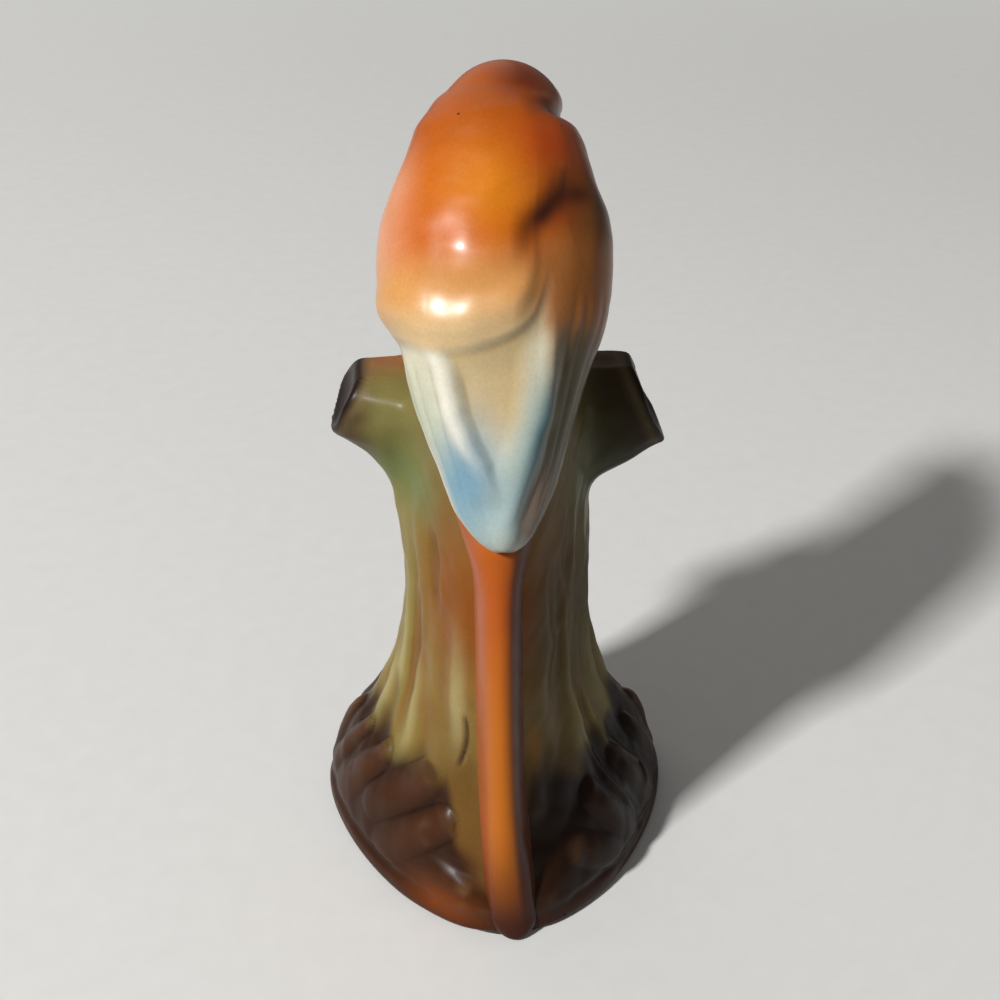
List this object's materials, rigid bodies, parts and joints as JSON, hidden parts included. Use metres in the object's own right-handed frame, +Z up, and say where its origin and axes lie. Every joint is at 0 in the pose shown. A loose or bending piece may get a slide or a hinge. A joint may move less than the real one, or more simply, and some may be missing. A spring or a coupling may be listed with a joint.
{
  "type": "parrot figurine",
  "caption": "Glazed ceramic parrot perched on a flared tree stump with sawn branch stubs, its long tail running down the back of the trunk.",
  "frame": {"origin": "on the flat foot, below the axis of the trunk", "axes": "+Z up the trunk, +Y the way the bird faces, +X to the right of someone who looks at its back"},
  "size_m": [0.0926, 0.0979, 0.2002],
  "materials": {
    "trunk_glaze": "satin glaze, airbrushed from olive green through cream and amber to brown",
    "branch_glaze": "satin glaze, olive green running into dark brown at the sawn face",
    "root_glaze": "dark brown satin glaze, thinner and redder at the rim",
    "body_glaze": "cream and peach satin glaze",
    "mantle_glaze": "orange satin glaze, airbrushed from red-orange to peach",
    "wing_glaze": "peach, cream and pale blue satin glaze with soft edges",
    "tail_glaze": "saturated orange satin glaze",
    "bill_glaze": "horn-coloured gloss glaze",
    "eye_glaze": "black gloss glaze",
    "foot_glaze": "brown-grey satin glaze"
  },
  "bodies": {
    "root": {"stump": "trunk_glaze", "left_branch": "branch_glaze", "right_branch": "branch_glaze", "back_left_roots": "root_glaze", "back_right_roots": "root_glaze", "front_left_roots": "root_glaze", "front_right_roots": "root_glaze", "torso": "body_glaze", "mantle": "mantle_glaze", "left_wing": "wing_glaze", "right_wing": "wing_glaze", "tail": "tail_glaze", "head": "mantle_glaze", "upper_bill": "bill_glaze", "lower_bill": "bill_glaze", "left_eye": "eye_glaze", "right_eye": "eye_glaze", "left_foot": "foot_glaze", "right_foot": "foot_glaze"}
  },
  "joints": []
}
